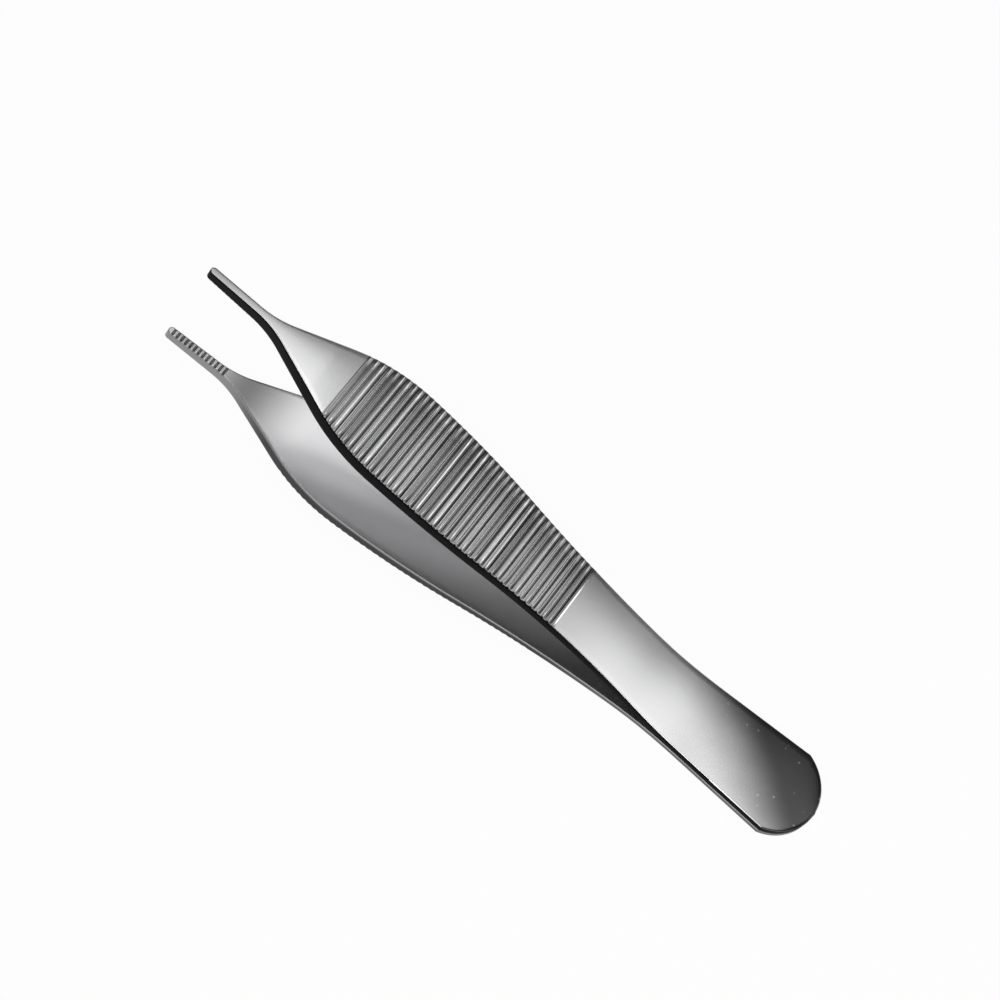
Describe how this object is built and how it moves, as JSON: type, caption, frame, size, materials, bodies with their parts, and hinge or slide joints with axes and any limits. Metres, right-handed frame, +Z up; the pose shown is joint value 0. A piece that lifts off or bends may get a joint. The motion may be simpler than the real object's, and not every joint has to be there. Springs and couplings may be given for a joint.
{
  "type": "thumb forceps",
  "caption": "Thumb forceps with two sprung steel arms welded at the heel, broad cross-grooved finger grips and slim notched jaws.",
  "frame": {"origin": "centre of the bounding box in X and Y, on the surface that the forceps lie on", "axes": "+X from the jaw tips towards the welded heel, +Y across the width of the arms, +Z up through both arms"},
  "size_m": [0.1206, 0.017, 0.0236],
  "materials": {
    "satin_steel": "satin"
  },
  "bodies": {
    "root": {"upper_arm": "satin_steel", "lower_arm": "satin_steel"}
  },
  "joints": []
}
